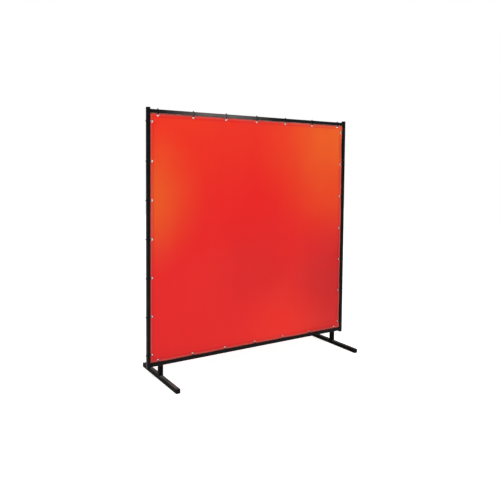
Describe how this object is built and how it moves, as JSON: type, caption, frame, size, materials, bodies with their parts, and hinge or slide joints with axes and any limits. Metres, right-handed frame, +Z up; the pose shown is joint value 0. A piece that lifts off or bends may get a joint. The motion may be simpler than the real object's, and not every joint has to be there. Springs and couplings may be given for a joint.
{
  "type": "welding curtain screen",
  "caption": "Free-standing welding screen: square-tube frame on T-shaped feet, with a tinted vinyl curtain tied in through grommets.",
  "frame": {"origin": "on the floor, midway between the two feet, in the plane of the curtain", "axes": "+X along the screen from its left post to its right post, -Y towards the side where the hem's smooth face is, +Z up"},
  "size_m": [1.849, 0.6096, 1.9462],
  "materials": {
    "frame_coating": "satin black powder coat on steel tube",
    "spigot_steel": "satin black powder coat, rubbed where it slides",
    "plug_plastic": "moulded black plastic",
    "curtain_vinyl": "smooth flexible vinyl, tinted orange-red, slightly see-through",
    "grommet_metal": "bright nickel plate",
    "tie_nylon": "black nylon",
    "button_steel": "zinc plate",
    "spring_steel": "blued spring strip"
  },
  "bodies": {
    "frame": {"left_post": "frame_coating", "right_post": "frame_coating", "top_rail": "frame_coating", "bottom_rail": "frame_coating", "left_foot_bar": "frame_coating", "right_foot_bar": "frame_coating", "left_foot_sleeve": "frame_coating", "right_foot_sleeve": "frame_coating", "left_post_top_plug": "plug_plastic", "left_post_bottom_plug": "plug_plastic", "right_post_top_plug": "plug_plastic", "right_post_bottom_plug": "plug_plastic", "left_foot_front_plug": "plug_plastic", "left_foot_rear_plug": "plug_plastic", "right_foot_front_plug": "plug_plastic", "right_foot_rear_plug": "plug_plastic", "left_upper_spigot": "spigot_steel", "left_lower_spigot": "spigot_steel", "right_upper_spigot": "spigot_steel", "right_lower_spigot": "spigot_steel", "left_leg_spigot": "spigot_steel", "right_leg_spigot": "spigot_steel", "left_upper_snap_spring": "spring_steel", "left_lower_snap_spring": "spring_steel", "right_upper_snap_spring": "spring_steel", "right_lower_snap_spring": "spring_steel", "left_leg_snap_spring": "spring_steel", "right_leg_snap_spring": "spring_steel", "curtain": "curtain_vinyl", "grommets": "grommet_metal", "grommet_washers": "grommet_metal", "cable_ties_top": "tie_nylon", "cable_ties_bottom": "tie_nylon", "cable_ties_left": "tie_nylon", "cable_ties_right": "tie_nylon"},
    "left_upper_button": {"left_upper_snap_button": "button_steel"},
    "left_lower_button": {"left_lower_snap_button": "button_steel"},
    "right_upper_button": {"right_upper_snap_button": "button_steel"},
    "right_lower_button": {"right_lower_snap_button": "button_steel"},
    "left_leg_button": {"left_leg_snap_button": "button_steel"},
    "right_leg_button": {"right_leg_snap_button": "button_steel"}
  },
  "joints": [
    {"name": "left_upper_button_press", "type": "slide", "parent": "frame", "child": "left_upper_button", "axis": [0, -1, 0], "range_m": [0, 0.0045], "stiffness_N_per_m": 800, "springref_m": -0.003, "deforming": ["left_upper_snap_spring"]},
    {"name": "left_lower_button_press", "type": "slide", "parent": "frame", "child": "left_lower_button", "axis": [0, -1, 0], "range_m": [0, 0.0045], "stiffness_N_per_m": 800, "springref_m": -0.003, "deforming": ["left_lower_snap_spring"]},
    {"name": "right_upper_button_press", "type": "slide", "parent": "frame", "child": "right_upper_button", "axis": [0, -1, 0], "range_m": [0, 0.0045], "stiffness_N_per_m": 800, "springref_m": -0.003, "deforming": ["right_upper_snap_spring"]},
    {"name": "right_lower_button_press", "type": "slide", "parent": "frame", "child": "right_lower_button", "axis": [0, -1, 0], "range_m": [0, 0.0045], "stiffness_N_per_m": 800, "springref_m": -0.003, "deforming": ["right_lower_snap_spring"]},
    {"name": "left_leg_button_press", "type": "slide", "parent": "frame", "child": "left_leg_button", "axis": [0, -1, 0], "range_m": [0, 0.0057], "stiffness_N_per_m": 800, "springref_m": -0.003, "deforming": ["left_leg_snap_spring"]},
    {"name": "right_leg_button_press", "type": "slide", "parent": "frame", "child": "right_leg_button", "axis": [0, -1, 0], "range_m": [0, 0.0057], "stiffness_N_per_m": 800, "springref_m": -0.003, "deforming": ["right_leg_snap_spring"]}
  ]
}
